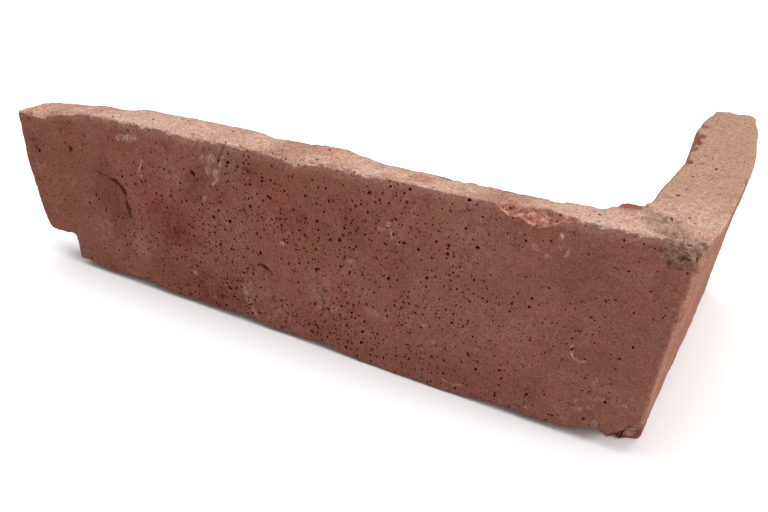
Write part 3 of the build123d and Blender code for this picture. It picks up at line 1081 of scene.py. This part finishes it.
# Pinholes: dense in the middle of the stretcher, fewer at its ends and on the beds
crowd = ramp(noise(26, 3, 0.6, 21.0), 0.30, 0.58)
middle = times(ramp(placeX, -80.0, -20.0), ramp(placeX, 112.0, 60.0))
middle = times(middle, combine("MULTIPLY_ADD", ramp(placeZ, 65.0, 48.0), 0.85, 0.15))
crowd = times(crowd, combine("MULTIPLY_ADD", middle, 0.62, 0.38))
crowd = times(crowd, combine("MULTIPLY_ADD", combine("MAXIMUM", overhang, onTop), -0.7, 1.0))
crowd = times(crowd, combine("MULTIPLY_ADD", ramp(placeX, 113.0, 118.5), -0.6, 1.0))
holes = strongest(
    [
        pinholes(1.5, 0.19, 0.36, times(crowd, 0.34)),
        pinholes(2.4, 0.29, 0.52, times(crowd, 0.52)),
        pinholes(4.4, 0.41, 0.69, times(crowd, 0.60)),
        pinholes(17.0, 0.5, 0.8, times(middle, 0.30), 2.0, -38.0),
    ]
)
# Painted shade: the pinholes are coloured near black inside, with a dark brown ring round each
pitShade = mixColour(ramp(noise(7, 2, 0.5, 33.0), 0.40, 0.60), colourOf("pit"), colourOf("pitRed"))
colour = mixColour(times(ramp(holes, 0.0, 0.4), 0.75), body, colourOf("pitEdge"))
colour = mixColour(ramp(holes, 0.2, 0.9), colour, pitShade)

heightField = combine("MULTIPLY_ADD", grain, 0.22, times(fineGrain, 0.12))
heightField = combine("MULTIPLY_ADD", speck, 0.45, heightField)
flakes = plus(times(combine("SUBTRACT", coarse, 0.5), 0.9), times(combine("SUBTRACT", speck, 0.5), 0.6))
heightField = plus(heightField, times(flakes, masks["bed"]))
heightField = combine("MULTIPLY_ADD", holes, -0.45, heightField)
bump = addNode(
    "ShaderNodeBump", inputs={"Strength": 1.0, "Distance": millimetre, "Height": heightField}
)
surface = addNode(
    "ShaderNodeBsdfPrincipled",
    inputs={"Base Color": colour, "Roughness": 0.93, "Normal": bump.outputs[0]},
)
surface.inputs["Specular IOR Level"].default_value = 0.0
addNode("ShaderNodeOutputMaterial", inputs={"Surface": surface.outputs[0]})
slipPiece.data.materials.append(material)
print("slip material made")

# Pale studio: white to the camera, soft light from the right and above, the stretcher in shade
studio = {
    "floorColour": (0.92, 0.92, 0.92, 1.0),
    "floorHalf": 0.9,  # half the floor's side, in metres
    "ambient": 0.52,
    "lights": (  # name, place, side of its square and power
        ("key_light", (1.50, -0.20, 0.90), 1.0, 20.0),
        ("sky_light", (-0.3, 0.1, 1.5), 1.8, 24.0),
    ),
}
scene = bpy.context.scene
scene.view_settings.view_transform = "Standard"
world = bpy.data.worlds.new("studio")
scene.world = world
world.use_nodes = True
worldTree = world.node_tree
worldTree.nodes.clear()
lightPath = worldTree.nodes.new("ShaderNodeLightPath")
plain = worldTree.nodes.new("ShaderNodeBackground")
plain.inputs["Strength"].default_value = studio["ambient"]
backdrop = worldTree.nodes.new("ShaderNodeBackground")
backdrop.inputs["Strength"].default_value = 1.0
for background in (plain, backdrop):
    background.inputs["Color"].default_value = (1, 1, 1, 1)
chooser = worldTree.nodes.new("ShaderNodeMixShader")
worldOut = worldTree.nodes.new("ShaderNodeOutputWorld")
worldTree.links.new(lightPath.outputs["Is Camera Ray"], chooser.inputs[0])
worldTree.links.new(plain.outputs[0], chooser.inputs[1])
worldTree.links.new(backdrop.outputs[0], chooser.inputs[2])
worldTree.links.new(chooser.outputs[0], worldOut.inputs["Surface"])

for name, place, size, power in studio["lights"]:
    lamp = bpy.data.lights.new(name, "AREA")
    lamp.size = size
    lamp.energy = power
    holder = bpy.data.objects.new(name, lamp)
    holder.location = place
    holder.rotation_euler = (-Vector(place)).to_track_quat("-Z", "Y").to_euler()
    scene.collection.objects.link(holder)

half = studio["floorHalf"]
floorMesh = bpy.data.meshes.new("floor")
floorMesh.from_pydata(
    [(-half, -half, 0), (half, -half, 0), (half, half, 0), (-half, half, 0)], [], [(0, 1, 2, 3)]
)
floor = bpy.data.objects.new("floor", floorMesh)
scene.collection.objects.link(floor)
floorMaterial = bpy.data.materials.new("floor")
floorMaterial.use_nodes = True
floorShader = floorMaterial.node_tree.nodes["Principled BSDF"]
floorShader.inputs["Base Color"].default_value = studio["floorColour"]
floorShader.inputs["Roughness"].default_value = 1.0
floorShader.inputs["Specular IOR Level"].default_value = 0.0
floorMesh.materials.append(floorMaterial)

# Camera at the photograph's viewing angle
view = {
    "place": (0.13115, -0.25103, 0.14755),
    "turn": (54.678, 1.429, 35.458),
    "lens": 35.036,
    "shift": (0.1676, 0.1489),
}
lens = bpy.data.cameras.new("camera")
lens.lens = view["lens"]
lens.sensor_width = 36.0
lens.shift_x, lens.shift_y = view["shift"]
lens.clip_start = 0.01
camera = bpy.data.objects.new("camera", lens)
camera.location = view["place"]
camera.rotation_euler = Euler([math.radians(a) for a in view["turn"]])
scene.collection.objects.link(camera)
scene.camera = camera
print("stage and camera made")
